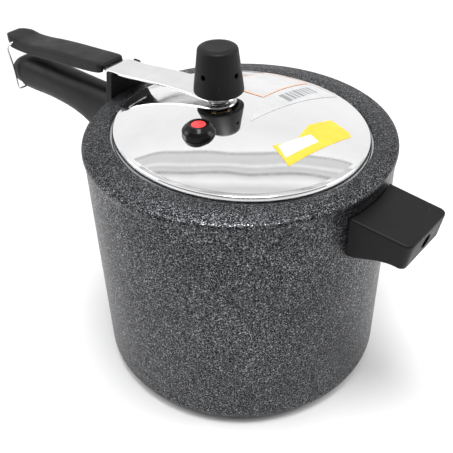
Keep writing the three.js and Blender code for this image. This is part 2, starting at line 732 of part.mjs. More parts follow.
const lidGroup = new THREE.Group();
lidGroup.add(
  part("lid", makeLid(), POLISHED),
  part("lid_gasket", makeGasket(), SILICONE),
  part("strap", makeStrap(), STEEL),
  part("upper_grip", makeUpperGrip(), PHENOLIC),
  part("vent_stem", makeStem(), BRASS),
  part("stem_seal", makeStemSeal(), SILICONE),
  part("stem_spacer", makeStemSpacer(), STEEL),
  part("stem_spring_washer", makeSpringWasher(), STEEL),
  part("stem_nut", makeStemNut(), STEEL),
  part("valve_housing", makeValveHousing(), PHENOLIC),
  part("valve_spring", makeValveSpring(), STEEL),
  part("valve_seal", makeValveSeal(), SILICONE),
  part("valve_nut", makeValveNut(), BRASS),
);
GRIP_SCREWS.forEach((x, i) => {
  lidGroup.add(part(`grip_screw_${i + 1}`, makeGripScrew(x), STEEL));
});

const weightGroup = new THREE.Group();
weightGroup.add(
  part("weight_cover", makeWeightCover(), PHENOLIC),
  part("weight_core", makeWeightCore(), BRASS),
);

const plungerGroup = new THREE.Group();
plungerGroup.add(
  part("valve_plunger", makePlunger(), RED),
  part("plunger_clip", makePlungerClip(), STEEL),
);

lidGroup.add(weightGroup, plungerGroup, part("wire_bail", makeBail(), STEEL));
cooker.add(potGroup, lidGroup);

export default cooker;
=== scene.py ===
"""Looks for the inner-lid stovetop pressure cooker: fine meshes, finishes, studio and camera.

Driving dimensions are in millimetres, as in the part's source; new_object makes them metres.
"""
import json
import math
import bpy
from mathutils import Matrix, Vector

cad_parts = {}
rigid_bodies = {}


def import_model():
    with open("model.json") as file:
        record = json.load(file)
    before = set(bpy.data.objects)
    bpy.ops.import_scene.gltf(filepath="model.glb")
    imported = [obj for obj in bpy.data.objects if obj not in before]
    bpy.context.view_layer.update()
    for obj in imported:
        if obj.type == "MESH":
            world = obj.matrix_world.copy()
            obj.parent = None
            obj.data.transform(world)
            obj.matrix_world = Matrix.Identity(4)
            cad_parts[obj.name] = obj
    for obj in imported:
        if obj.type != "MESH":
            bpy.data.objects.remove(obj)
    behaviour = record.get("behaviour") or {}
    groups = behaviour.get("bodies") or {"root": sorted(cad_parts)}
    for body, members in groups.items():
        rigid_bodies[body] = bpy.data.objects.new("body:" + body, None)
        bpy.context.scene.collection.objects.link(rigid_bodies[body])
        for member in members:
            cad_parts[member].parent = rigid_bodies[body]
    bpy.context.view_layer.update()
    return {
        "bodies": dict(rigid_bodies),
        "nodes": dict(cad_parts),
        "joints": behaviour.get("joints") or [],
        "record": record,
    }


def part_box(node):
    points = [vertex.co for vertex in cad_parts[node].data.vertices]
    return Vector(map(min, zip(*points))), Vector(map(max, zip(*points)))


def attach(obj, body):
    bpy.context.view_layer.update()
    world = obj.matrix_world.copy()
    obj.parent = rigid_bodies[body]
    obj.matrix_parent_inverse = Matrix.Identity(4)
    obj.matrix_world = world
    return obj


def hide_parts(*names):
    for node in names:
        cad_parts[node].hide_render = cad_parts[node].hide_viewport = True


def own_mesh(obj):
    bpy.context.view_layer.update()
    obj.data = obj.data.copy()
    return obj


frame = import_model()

from types import SimpleNamespace as Sizes

import bmesh
import bpy
import numpy as np
from mathutils import Matrix, Vector

# ---- Driving dimensions, mm ----
MM = 0.001
GAP = 0.3
AROUND = 256  # facets round the pot and the lid

POT = Sizes(radius=110, wall=2.5, base=4, corner=12, wall_top=181, bead=1.2)
MOUTH = Sizes(a=95.8, b=86.9, z=190, under=187.5)
LID = Sizes(a=94.2, b=85.3, edge=192.3, crown=208.5, thick=2.2)
FLANGE = Sizes(reach=7.3, top=183.2, bottom=180.7)
GASKET = Sizes(reach=6.8, clear=0.4, top=186.5)
STEM = Sizes(x=-18, radius=4, bore=1.4, bottom=199.4, tip=228)
STRAP = Sizes(half=12.5, tang_half=9.5, thick=2, end=-216)
FORK = Sizes(inner=-112.3, outer=-118.3, slot_half=13, saddle=202.2, tip=204.8)
WEIGHT = Sizes(rim=17.8, top=13.6, rim_z=214.9, skirt_z=214.2, crown_z=246.5, vent_z=229)
CORE = Sizes(radius=8.6, high=240)
VALVE = Sizes(x=-1.5, y=-40.6, radius=11.3, height=6.2, foot=5)
GRIP_SCREWS = (-150, -200)
BAIL = Sizes(pivot_x=-241.5, pivot_z=195.8, bar_x=-244.5, bar_z=151.2, leg_y=15, wire=1)
HELPER = Sizes(outer=150, half=25.6, top=174.4, axis_z=161.5)
TONGUE = Sizes(end=-150, half=7, low=140, high=148)
HANDLE_SCREW_X = -138

# x, top, bottom, half width, squareness of the cross-section
LOWER_HANDLE = [
    (-104, 178, 108, 18.5, 3.2), (-113, 180, 109, 18.5, 3.2), (-120, 181, 112, 16.5, 3),
    (-128, 181.3, 118, 14.8, 2.8), (-140, 181.2, 129, 13.6, 2.7), (-154, 181, 139.5, 13, 2.6),
    (-169, 181, 146.6, 13, 2.6), (-186, 181.2, 150, 13, 2.6), (-208, 181.4, 151.4, 13, 2.6),
    (-230, 181.4, 150.8, 13, 2.6), (-241, 180.4, 150.8, 12.8, 2.6),
    (-242.8, 180, 153.1, 12.7, 2.6), (-249, 177.4, 153.6, 12, 2.6),
    (-254, 173.6, 155, 10.6, 2.5), (-257.6, 168.4, 157.6, 7.6, 2.3), (-258.6, 165.4, 160.4, 4, 2),
]
UPPER_GRIP = [
    (-127.6, 205.4, 200.8, 9.5, 6), (-129, 206, 199.2, 11.6, 6), (-133, 206.1, 197.6, 13, 6),
    (-155, 204.8, 194.6, 13, 6), (-184, 202.8, 192, 13, 6), (-205, 200.7, 190, 13, 6),
    (-222, 198.6, 188.8, 13, 6), (-234, 198, 188.6, 13, 6), (-245, 199, 189, 13, 6),
    (-252, 199.4, 191.4, 10, 6), (-256, 199, 194.2, 7.6, 6),
]
# x and height of the strap's upper face
STRAP_TOP = [
    (-4, 211.9), (-34, 211.7), (-60, 210.2), (-86, 207.4), (-108, 205), (-120, 204.5),
    (-128, 203.2), (-136, 201.9), (-150, 200.5), (-165, 199), (-182, 197.4), (-200, 195.8),
    (-217, 194.4),
]
# x and height of the helper handle's underside
HELPER_UNDERSIDE = [(104, 144), (113, 145.4), (122, 148.6), (131, 151.4), (140, 152.6), (150, 152)]

# Camera, fitted to the pot's rim, wall and base: angles in radians, the rest in millimetres
AZIMUTH, ELEVATION = math.radians(39.15), math.radians(37.93)
CAMERA_DISTANCE, CAMERA_AIM_Z = 550.2, 101.9
CAMERA_PAN, CAMERA_ROLL = -0.020, -0.012
CAMERA_LENS = 55.86


# ---- Meshes ----
def new_object(name, points, faces):
    """A mesh object from points in millimetres, welded, with its faces pointing out."""
    mesh = bpy.data.meshes.new(name)
    mesh.from_pydata((np.asarray(points, float) * MM).tolist(), [], faces)
    work = bmesh.new()
    work.from_mesh(mesh)
    bmesh.ops.remove_doubles(work, verts=work.verts, dist=2e-6)
    bmesh.ops.dissolve_degenerate(work, edges=work.edges, dist=1e-7)
    bmesh.ops.recalc_face_normals(work, faces=work.faces)
    work.to_mesh(mesh)
    work.free()
    obj = bpy.data.objects.new(name, mesh)
    bpy.context.scene.collection.objects.link(obj)
    return obj


def skin(name, rings, closed=False):
    """A skin over rings of equal point count, capped at its ends, or closed on itself."""
    rings = np.asarray(rings, float)
    count, around = rings.shape[:2]
    faces = []
    for r in range(count if closed else count - 1):
        here, there = r * around, (r + 1) % count * around
        for j in range(around):
            k = (j + 1) % around
            faces.append((here + j, here + k, there + k, there + j))
    if not closed:
        faces.append(tuple(range(around))[::-1])
        faces.append(tuple(range((count - 1) * around, count * around)))
    return new_object(name, rings.reshape(-1, 3), faces)


def oval_ring(a, b, z, steps=AROUND):
    t = np.linspace(0, 2 * math.pi, steps, endpoint=False)
    return np.column_stack([a * np.cos(t), b * np.sin(t), np.full(steps, z)])


def turned(name, profile, at=(0, 0, 0), steps=96, closed=False):
    """A solid turned about +Z from points (radius, z), moved to a place."""
    rings = [oval_ring(r, r, z, steps) + np.array(at) for r, z in profile]
    return skin(name, rings, closed)


def rounded(corners, step=10):
    """A polyline of (u, v, radius) with each corner turned into an arc of its radius."""
    points = []
    for i, (u, v, radius) in enumerate(corners):
        if radius == 0 or i in (0, len(corners) - 1):
            points.append((u, v))
            continue
        here = Vector((u, v))
        back = (Vector(corners[i - 1][:2]) - here).normalized()
        ahead = (Vector(corners[i + 1][:2]) - here).normalized()
        angle = back.angle(ahead)
        centre = here + (back + ahead).normalized() * (radius / math.sin(angle / 2))
        start = here + back * (radius / math.tan(angle / 2)) - centre
        end = here + ahead * (radius / math.tan(angle / 2)) - centre
        sweep = math.copysign(math.pi - angle, start.x * end.y - start.y * end.x)
        steps = max(2, round(abs(math.degrees(sweep)) / step))
        for s in range(steps + 1):
            turn = Matrix.Rotation(sweep * s / steps, 2)
            points.append(tuple(centre + turn @ start))
    return points


def read_curve(xs, ys, at):
    """Monotone cubic reading of ys over rising xs, so that no value overshoots its knots."""
    xs, ys, at = (np.asarray(v, float) for v in (xs, ys, at))
    h = np.diff(xs)
    slope = np.diff(ys) / h
    knots = np.zeros(len(xs))
    knots[0], knots[-1] = slope[0], slope[-1]
    for i in range(1, len(xs) - 1):
        if slope[i - 1] * slope[i] > 0:
            w0, w1 = 2 * h[i] + h[i - 1], h[i] + 2 * h[i - 1]
            knots[i] = (w0 + w1) / (w0 / slope[i - 1] + w1 / slope[i])
    i = np.clip(np.searchsorted(xs, at) - 1, 0, len(h) - 1)
    t = (at - xs[i]) / h[i]
    return (
        (2 * t**3 - 3 * t**2 + 1) * ys[i] + (t**3 - 2 * t**2 + t) * h[i] * knots[i]
        + (3 * t**2 - 2 * t**3) * ys[i + 1] + (t**3 - t**2) * h[i] * knots[i + 1]
    )


def read_table(table, per_gap):
    """Rows of a table, read smoothly along its first column."""
    rows = np.array(sorted(table), float)
    xs = rows[:, 0]
    at = np.unique(np.concatenate([
        np.linspace(xs[i], xs[i + 1], per_gap + 1) for i in range(len(xs) - 1)
    ]))
    return np.column_stack([at] + [read_curve(xs, rows[:, c], at) for c in range(1, rows.shape[1])])


def signed_power(values, exponent):
    return np.sign(values) * np.abs(values) ** exponent


def bar(name, table, per_gap=6, around=72):
    """A bar along X through smooth sections (x, top, bottom, half width, squareness)."""
    t = 2 * math.pi * (np.arange(around) + 0.5) / around
    rings = []
    for x, top, bottom, half, square in read_table(table, per_gap):
        y = half * signed_power(np.cos(t), 2 / square)
        z = (top + bottom) / 2 + (top - bottom) / 2 * signed_power(np.sin(t), 2 / square)
        rings.append(np.column_stack([np.full(around, x), y, z]))
    return skin(name, rings)


def rounded_section(x, half_y, low, high, radius, per_corner=6):
    """A ring across X: a rectangle with round corners."""
    radius = min(radius, 0.98 * half_y, 0.49 * (high - low))
    ring = []
    for cy, cz, start in (
        (half_y - radius, high - radius, 0), (radius - half_y, high - radius, 90),
        (radius - half_y, low + radius, 180), (half_y - radius, low + radius, 270),
    ):
        for s in range(per_corner + 1):
            t = math.radians(start + 90 * s / per_corner)
            ring.append((x, cy + radius * math.cos(t), cz + radius * math.sin(t)))
    return ring


def prism(name, outline, half_y):
    """The outline (x, z) drawn from the side, as thick as 2 * half_y along Y."""
    return skin(name, [[(x, y, z) for x, z in outline] for y in (-half_y, half_y)])


def block(name, low, high):
    (x0, y0, z0), (x1, y1, z1) = low, high
    return skin(name, [[(x0, y0, z), (x1, y0, z), (x1, y1, z), (x0, y1, z)] for z in (z0, z1)])


def post(radius, low, high, at=(0, 0, 0), steps=48):
    """A plain cylinder along Z, used as a cutter."""
    return turned("cutter", [(radius, low), (radius, high)], at, steps)


def turned_to_x(obj):
    """Lays a solid made along +Z along +X."""
    obj.data.transform(Matrix.Rotation(math.pi / 2, 4, "Y"))
    return obj


def combine(obj, tools, operation="DIFFERENCE"):
    """Cuts the tools out of obj, or joins or intersects them with it."""
    for tool in tools:
        modifier = obj.modifiers.new("combine", "BOOLEAN")
        modifier.object = tool
        modifier.operation = operation
        modifier.solver = "MANIFOLD"
        graph = bpy.context.evaluated_depsgraph_get()
        made = bpy.data.meshes.new_from_object(obj.evaluated_get(graph))
        obj.modifiers.clear()
        obj.data = made
        bpy.data.objects.remove(tool)
    return obj


def sweep(name, path, radius, sides=16):
    """A round wire along a path, with round ends."""
    path = np.asarray(path, float)
    tangents = np.gradient(path, axis=0)
    tangents /= np.linalg.norm(tangents, axis=1)[:, None]
    normal = np.cross(tangents[0], (0.3, 0.2, 1.0))
    t = np.linspace(0, 2 * math.pi, sides, endpoint=False)
    rings = []
    frames = []
    for point, tangent in zip(path, tangents):
        normal = normal - tangent * normal.dot(tangent)
        normal /= np.linalg.norm(normal)
        frames.append((point, tangent, normal, np.cross(tangent, normal)))

    def ring(frame, size, ahead):
        point, tangent, u, v = frame
        circle = np.outer(np.cos(t), u) + np.outer(np.sin(t), v)
        return point + ahead * tangent + size * circle

    for degrees in (90, 60, 30):
        s = math.radians(degrees)
        rings.append(ring(frames[0], radius * math.cos(s), -radius * math.sin(s) * 0.5))
    rings += [ring(f, radius, 0) for f in frames]
    for degrees in (30, 60, 90):
        s = math.radians(degrees)
        rings.append(ring(frames[-1], radius * math.cos(s), radius * math.sin(s) * 0.5))
    return skin(name, rings)


def through(points, per_gap=8):
    """A centripetal Catmull-Rom curve through the points."""
    points = [np.asarray(p, float) for p in points]
    points = [2 * points[0] - points[1], *points, 2 * points[-1] - points[-2]]
    curve = []
    for i in range(1, len(points) - 2):
        p0, p1, p2, p3 = points[i - 1:i + 3]
        t0 = 0
        t1 = t0 + np.linalg.norm(p1 - p0) ** 0.5
        t2 = t1 + np.linalg.norm(p2 - p1) ** 0.5
        t3 = t2 + np.linalg.norm(p3 - p2) ** 0.5
        for t in np.linspace(t1, t2, per_gap, endpoint=False):
            a1 = (t1 - t) / (t1 - t0) * p0 + (t - t0) / (t1 - t0) * p1
            a2 = (t2 - t) / (t2 - t1) * p1 + (t - t1) / (t2 - t1) * p2
            a3 = (t3 - t) / (t3 - t2) * p2 + (t - t2) / (t3 - t2) * p3
            b1 = (t2 - t) / (t2 - t0) * a1 + (t - t0) / (t2 - t0) * a2
            b2 = (t3 - t) / (t3 - t1) * a2 + (t - t1) / (t3 - t1) * a3
            curve.append((t2 - t) / (t2 - t1) * b1 + (t - t1) / (t2 - t1) * b2)
    curve.append(points[-2])
    return curve


def place(obj, body, material, slot, *nodes, sharp=32):
    """Finishes a piece: shading, material, body and the CAD nodes it stands for. The record slot argument is
    not used.
    """
    mesh = obj.data
    mesh.shade_smooth()
    mesh.set_sharp_from_angle(angle=math.radians(sharp))
    if not mesh.materials:
        mesh.materials.append(material)
    elif mesh.materials[0] is None:
        mesh.materials[0] = material
    weighted = obj.modifiers.new("even_normals", "WEIGHTED_NORMAL")
    weighted.keep_sharp = True
    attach(obj, body)
    if nodes:
        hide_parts(*nodes)
    return obj


# ---- Materials ----
class Nodes:
    """A node tree with short calls for the nodes used here."""

    def __init__(self, tree, coordinates):
        self.tree = tree
        self.place = self.add("ShaderNodeTexCoord").outputs[coordinates]

    def add(self, kind, **settings):
        node = self.tree.nodes.new(kind)
        for key, value in settings.items():
            setattr(node, key, value)
        return node

    def link(self, source, target):
        if isinstance(source, (int, float, tuple)):
            target.default_value = source
        else:
            self.tree.links.new(source, target)

    def stretched(self, x, y, z):
        node = self.add("ShaderNodeMapping")
        node.inputs["Scale"].default_value = (x, y, z)
        self.link(self.place, node.inputs["Vector"])
        return node.outputs["Vector"]

    def noise(self, scale, detail=3, roughness=0.5, distortion=0, vector=None):
        node = self.add("ShaderNodeTexNoise")
        self.link(vector or self.place, node.inputs["Vector"])
        node.inputs["Scale"].default_value = scale
        node.inputs["Detail"].default_value = detail
        node.inputs["Roughness"].default_value = roughness
        node.inputs["Distortion"].default_value = distortion
        return node.outputs["Fac"]

    def math(self, operation, a, b=0.0):
        node = self.add("ShaderNodeMath", operation=operation)
        self.link(a, node.inputs[0])
        self.link(b, node.inputs[1])
        return node.outputs[0]

    def dot(self, vector, direction):
        node = self.add("ShaderNodeVectorMath", operation="DOT_PRODUCT")
        self.link(vector, node.inputs[0])
        node.inputs[1].default_value = direction
        return node.outputs["Value"]

    def ramp(self, value, *stops):
        """Reads a value through stops (position, grey level or colour)."""
        node = self.add("ShaderNodeValToRGB")
        self.link(value, node.inputs["Fac"])
        elements = node.color_ramp.elements
        while len(elements) < len(stops):
            elements.new(1.0)
        for element, (position, level) in zip(elements, stops):
            element.position = position
            shade = level if isinstance(level, tuple) else (level, level, level)
            element.color = (*shade, 1.0)
        return node.outputs["Color"]

    def bump(self, height, strength, distance, under=None):
        node = self.add("ShaderNodeBump")
        node.inputs["Strength"].default_value = strength
        node.inputs["Distance"].default_value = distance
        self.link(height, node.inputs["Height"])
        if under:
            self.link(under, node.inputs["Normal"])
        return node.outputs["Normal"]


class Finish(Nodes):
    """A new material's nodes, which end in its Principled shader."""

    def __init__(self, name):
        self.material = bpy.data.materials.new(name)
        self.material.use_nodes = True
        super().__init__(self.material.node_tree, "Object")
        self.shader = self.tree.nodes["Principled BSDF"]

    def finish(self, colour, roughness, normal=None, metallic=0.0, **constants):
        self.link(colour, self.shader.inputs["Base Color"])
        self.link(roughness, self.shader.inputs["Roughness"])
        self.link(metallic, self.shader.inputs["Metallic"])
        if normal:
            self.link(normal, self.shader.inputs["Normal"])
        for key, value in constants.items():
            self.shader.inputs[key.replace("_", " ")].default_value = value
        return self.material


def hammered_paint():
    """Silver hammer enamel: bright worm-shaped ridges over a near-black ground."""
    n = Finish("hammered_paint")
    field = n.noise(760, detail=0.6, roughness=0.4, distortion=0.6)
    away = n.math("ABSOLUTE", n.math("SUBTRACT", field, 0.5))
    ridge = n.ramp(n.math("MULTIPLY", away, 8.0), (0.10, 1.0), (0.55, 0.0))
    fleck = n.ramp(n.noise(1100, detail=1, roughness=0.5), (0.35, 0.5), (0.6, 1.0))
    drift = n.ramp(n.noise(22, detail=2), (0.3, 0.85), (0.7, 1.0))
    silver = n.math("MULTIPLY", n.math("MULTIPLY", ridge, fleck), drift)
    colour = n.ramp(silver, (0.0, (0.004, 0.004, 0.005)), (0.3, (0.018, 0.018, 0.020)),
                    (1.0, (0.44, 0.45, 0.475)))
    roughness = n.ramp(silver, (0.0, 0.36), (1.0, 0.30))
    metallic = n.ramp(silver, (0.0, 0.0), (0.4, 1.0))
    normal = n.bump(silver, 0.4, 0.0002)
    return n.finish(colour, roughness, normal, metallic, Specular_IOR_Level=0.15)


def polished_aluminium():
    """Mirror-polished sheet with faint pressing waves and buffing haze."""
    n = Finish("polished_aluminium")
    waves = n.noise(16, detail=1, roughness=0.4)
    haze = n.noise(900, detail=4, roughness=0.6, vector=n.stretched(1, 0.06, 1))
    colour = n.ramp(n.noise(60, detail=3), (0.3, (0.89, 0.89, 0.895)), (0.7, (0.93, 0.93, 0.93)))
    roughness = n.ramp(haze, (0.35, 0.035), (0.75, 0.10))
    normal = n.bump(waves, 0.25, 0.0012)
    return n.finish(colour, roughness, normal, 1.0)


def bare_aluminium():
    """Spun or machined aluminium: fine rings about the pot's axis."""
    n = Finish("bare_aluminium")
    flat = n.add("ShaderNodeVectorMath", operation="MULTIPLY")
    n.link(n.place, flat.inputs[0])
    flat.inputs[1].default_value = (1, 1, 0)
    length = n.add("ShaderNodeVectorMath", operation="LENGTH")
    n.link(flat.outputs["Vector"], length.inputs[0])
    rings_per_metre = 900
    turns = n.math("MULTIPLY", length.outputs["Value"], 2 * math.pi * rings_per_metre)
    rings = n.math("SINE", turns)
    grain = n.noise(700, detail=3)
    colour = n.ramp(n.noise(40, detail=3), (0.3, (0.60, 0.60, 0.61)), (0.7, (0.76, 0.765, 0.77)))
    roughness = n.ramp(grain, (0.3, 0.26), (0.7, 0.42))
    return n.finish(colour, roughness, n.bump(rings, 0.18, 0.0002), 1.0)


def bright_steel():
    """Bright rolled steel with a faint grain along X."""
    n = Finish("bright_steel")
    grain = n.noise(1200, detail=3, roughness=0.6, vector=n.stretched(0.03, 1, 1))
    colour = n.ramp(n.noise(50, detail=3), (0.3, (0.74, 0.745, 0.75)), (0.7, (0.83, 0.83, 0.83)))
    roughness = n.ramp(grain, (0.3, 0.12), (0.7, 0.24))
    return n.finish(colour, roughness, n.bump(grain, 0.05, 0.0001), 1.0)


def brass():
    """Turned brass with a fine grain round it and a slight drift in colour."""
    n = Finish("turned_brass")
    grain = n.noise(1500, detail=3, vector=n.stretched(0.15, 0.15, 1))
    colour = n.ramp(n.noise(120, detail=3), (0.3, (0.60, 0.47, 0.25)), (0.7, (0.76, 0.62, 0.36)))
    return n.finish(colour, n.ramp(grain, (0.3, 0.2), (0.7, 0.38)), n.bump(grain, 0.1, 0.0001), 1.0)


def phenolic(name, smooth, rough, dust=0.0):
    """Moulded black phenolic: fine grain, a little cloudiness and rare pale specks of dust."""
    n = Finish(name)
    cloud = n.noise(35, detail=4, roughness=0.6)
    grain = n.noise(2600, detail=2)
    colour = n.ramp(cloud, (0.3, (0.0040, 0.0040, 0.0045)), (0.7, (0.0065, 0.0065, 0.0070)))
    if dust:
        speck = n.ramp(n.noise(420, detail=2, roughness=0.5), (0.74, 0.0), (0.80, dust))
        mix = n.add("ShaderNodeMix", data_type="RGBA")
        n.link(speck, mix.inputs["Factor"])
        n.link(colour, mix.inputs["A"])
        mix.inputs["B"].default_value = (0.16, 0.16, 0.17, 1)
        colour = mix.outputs["Result"]
    roughness = n.ramp(n.noise(90, detail=4, roughness=0.65), (0.3, smooth), (0.7, rough))
    normal = n.bump(grain, 0.10, 0.0001, n.bump(cloud, 0.12, 0.0006))
    return n.finish(colour, roughness, normal, 0.0, Specular_IOR_Level=0.2)


def silicone():
    """Matte grey silicone rubber with a faint grain."""
    n = Finish("grey_silicone")
    grain = n.noise(1800, detail=3)
    colour = n.ramp(n.noise(80, detail=3), (0.3, (0.31, 0.32, 0.33)), (0.7, (0.40, 0.41, 0.42)))
    return n.finish(colour, n.ramp(grain, (0.3, 0.55), (0.7, 0.75)), n.bump(grain, 0.15, 0.0001))


def red_plastic():
    """Glossy red plastic, slightly cloudy."""
    n = Finish("red_plastic")
    cloud = n.noise(400, detail=3)
    colour = n.ramp(cloud, (0.3, (0.66, 0.035, 0.040)), (0.7, (0.80, 0.060, 0.062)))
    return n.finish(colour, n.ramp(cloud, (0.3, 0.22), (0.7, 0.34)), n.bump(cloud, 0.08, 0.0001))


def paper(name, low, high):
    """Coated label stock with a trace of fibre."""
    n = Finish(name)
    fibre = n.noise(1400, detail=4, roughness=0.65)
    colour = n.ramp(n.noise(120, detail=3), (0.3, low), (0.7, high))
    return n.finish(colour, n.ramp(fibre, (0.3, 0.3), (0.7, 0.5)), n.bump(fibre, 0.06, 0.0001))


FINISH = {
    "hammered_paint": hammered_paint(),
    "polished_aluminium": polished_aluminium(),
    "bare_aluminium": bare_aluminium(),
    "bright_steel": bright_steel(),
    "brass": brass(),
    "black_phenolic": phenolic("black_phenolic", 0.40, 0.52, dust=0.5),
    "grey_silicone": silicone(),
    "red_plastic": red_plastic(),
}
GLOSSY_BLACK = phenolic("glossy_black", 0.10, 0.18)
MATTE_BLACK = phenolic("matte_black", 0.42, 0.56, dust=0.3)


def give_finishes_to_cad_nodes():
    slots = {s["node"]: s["material_slot"] for s in frame["record"]["subparts"]}
    for node, obj in frame["nodes"].items():
        obj.data.materials.clear()
        obj.data.materials.append(FINISH[slots[node]])


# ---- Pot ----
def arc(centre_r, centre_z, radius, start, end, steps):
    return [
        (centre_r + radius * math.cos(t), centre_z + radius * math.sin(t))
        for t in np.radians(np.linspace(start, end, steps + 1))
    ]


def make_pot():
    rim_rise, rim_in = 7.4, 1.5
    base_rings = (0, 45, 90)
    inner = POT.radius - POT.wall
    outer_corner = arc(POT.radius - POT.corner, POT.corner, POT.corner, -90, 0, 12)
    wall = [(POT.radius, z) for z in np.linspace(POT.corner + 12, POT.wall_top - 1, 12)]
    r, top = POT.radius, POT.wall_top
    bead_z = np.linspace(top, top + rim_rise, 20)
    bead_r = read_curve(
        [top, top + 2, top + 4, top + 6, top + rim_rise],
        [r, r + 0.8 * POT.bead, r + POT.bead, r + 0.6 * POT.bead, r - rim_in], bead_z,
    )
    base = [(radius, 0) for radius in base_rings]
    outside = [*base, *outer_corner, *wall, *zip(bead_r, bead_z)]
    rings = [oval_ring(radius, radius, z) for radius, z in outside]

    # The in-turned shoulder passes from the round wall to the oval mouth.
    lip = rounded([
        (r - rim_in, top + rim_rise, 0), (MOUTH.a + 6, MOUTH.z - 0.15, 8), (MOUTH.a, MOUTH.z, 1.2),
        (MOUTH.a, MOUTH.under, 0.6), (MOUTH.a + 4, MOUTH.under - 0.4, 0),
    ])
    for radius, z in lip:
        share = min(1, max(0, (r - rim_in - radius) / (r - rim_in - MOUTH.a)))
        rings.append(oval_ring(radius, radius - share * (MOUTH.a - MOUTH.b), z))
    inside = rounded([
        (r - 4.5, MOUTH.under - 0.7, 0), (inner, top + 3, 2), (inner, POT.base, POT.corner - 3),
        (0, POT.base, 0),
    ])
    rings += [oval_ring(radius, radius, z) for radius, z in inside]
    shell = skin("pot_shell", rings)
    mesh = shell.data
    mesh.materials.append(FINISH["hammered_paint"])
    mesh.materials.append(FINISH["bare_aluminium"])
    for face in mesh.polygons:
        x, y, z = face.center / MM
        radius = math.hypot(x, y)
        bare_base = z < 0.05
        bare_inside = z < MOUTH.under + 0.2 and radius < inner + 0.1 and z > POT.base - 0.1
        face.material_index = 1 if bare_base or bare_inside else 0
    place(shell, "pot", FINISH["hammered_paint"], "hammered_paint", "pot_body", sharp=50)


# ---- Lower handle with its fork ----
def fork_plate():
    """The fork's plate, drawn from the end and rounded along its edges."""
    ear_outer, waist, foot = 15.6, (19, 184, 20), (22, 172, 0)
    ear_round = (ear_outer - FORK.slot_half) / 2
    right = rounded([
        (0, FORK.saddle, 0), (FORK.slot_half, FORK.saddle, 0.5),
        (FORK.slot_half, FORK.tip, ear_round - 0.01), (ear_outer, FORK.tip, ear_round - 0.01),
        waist, foot,
    ], step=15)
    outline = np.array(right + [(-y, z) for y, z in reversed(right[1:])])
    tangent = np.roll(outline, -1, 0) - np.roll(outline, 1, 0)
    tangent /= np.linalg.norm(tangent, axis=1)[:, None]
    inward = np.column_stack([-tangent[:, 1], tangent[:, 0]])
    centre_side = ((outline.mean(0) - outline) * inward).sum(1)
    if np.median(np.sign(centre_side)) < 0:
        inward = -inward
    edge = 0.6
    rings = []
    for x, side in ((FORK.outer, 1), (FORK.inner, -1)):
        steps = [(edge * (1 - math.cos(t)), edge * (1 - math.sin(t)))
                 for t in np.radians([0, 30, 60, 90])]
        stations = [(x + side * along, inset) for along, inset in steps]
        if side < 0:
            stations.reverse()
        for station, inset in stations:
            moved = outline + inward * inset
            rings.append([(station, y, z) for y, z in moved])
    return skin("fork", rings)


def make_lower_handle():
    body = bar("handle_and_fork", LOWER_HANDLE)
    combine(body, [fork_plate()], "UNION")
    ridge_fall = 1.4
    middle = (FORK.inner + FORK.outer) / 2
    high, low = FORK.saddle + 3, FORK.saddle - ridge_fall
    inner_edge, outer_edge = FORK.inner + 1, FORK.outer - 1
    half = FORK.slot_half - 0.01
    inner_slope = [(inner_edge, high), (inner_edge, low), (middle, FORK.saddle), (middle, high)]
    outer_slope = [(middle, high), (middle, FORK.saddle), (outer_edge, low), (outer_edge, high)]
    clear = 2 * GAP
    root = -100
    bracket_pocket = ((-124, -12, 118.5), (root, 12, 173.5))
    screw_hole, head_hole = (2.4, 100, 146), (4.8, 100, 136)
    return combine(body, [
        prism("cutter", inner_slope, half),
        prism("cutter", outer_slope, half),
        post(POT.radius + POT.bead + clear, 90, 230, steps=AROUND),
        block("cutter", *bracket_pocket),
        block("cutter", (TONGUE.end - clear, -TONGUE.half - GAP, TONGUE.low - GAP),
              (root, TONGUE.half + GAP, TONGUE.high + GAP)),
        post(*screw_hole, (HANDLE_SCREW_X, 0, 0)),
        post(*head_hole, (HANDLE_SCREW_X, 0, 0)),
    ])


# ---- Helper handle ----
def end_round(distance, radius):
    """How far an edge of that radius has drawn in at a distance from the end."""
    left = max(0.0, radius - distance)
    return radius - math.sqrt(max(0.0, radius**2 - left**2))


def make_helper_handle():
    plan_round, edge_round, corner = 5.0, 1.1, 1.7
    root, wall, outer = 100, 104, HELPER.outer  # where the sides and the roof start, and the end
    side_draft, roof_rise, roof_fall = 1.2, 0.6, 3.4
    lean, lean_length = 3, 20  # how far the end face leans in at its foot, and over what length
    under_x, under_z = zip(*HELPER_UNDERSIDE)
    ends = plan_round * (1 - np.cos(np.radians(np.linspace(0, 90, 14))))
    stations = np.concatenate([np.linspace(root, outer - plan_round, 40), outer - ends[::-1][1:]])
    rings = []
    for x in stations:
        left = outer - x
        half = HELPER.half - side_draft * (x - root) / (outer - root) - end_round(left, plan_round)
        roof = HELPER.top + roof_rise - roof_fall * (x - wall) / (outer - wall)
        top = roof - end_round(left, edge_round)
        under = float(read_curve(under_x, under_z, np.array([max(x, wall)]))[0])
        low = under + end_round(left, edge_round)
        ring = np.array(rounded_section(x, half, low, top, corner))
        near_end = max(0, 1 - left / lean_length)
        ring[:, 0] -= lean * near_end * (top - ring[:, 2]) / (top - low)
        rings.append(ring)
    body = skin("helper_grip", rings)

    boss_hole, screw_hole, recess = (5.8, root, 122.3), (2.2, root, outer), (5, 129, outer)
    along = [turned_to_x(post(*hole)) for hole in (boss_hole, screw_hole, recess)]
    for cutter in along:
        cutter.data.transform(Matrix.Translation((0, 0, HELPER.axis_z * MM)))
    pocket_end, pocket_half, pocket_reach = 118, 18, 9
    return combine(body, [
        post(POT.radius + 2 * GAP, 90, 230, steps=AROUND),
        block("cutter", (root, -pocket_half, HELPER.axis_z - pocket_reach),
              (pocket_end, pocket_half, HELPER.axis_z + pocket_reach)),
        *along,
    ])


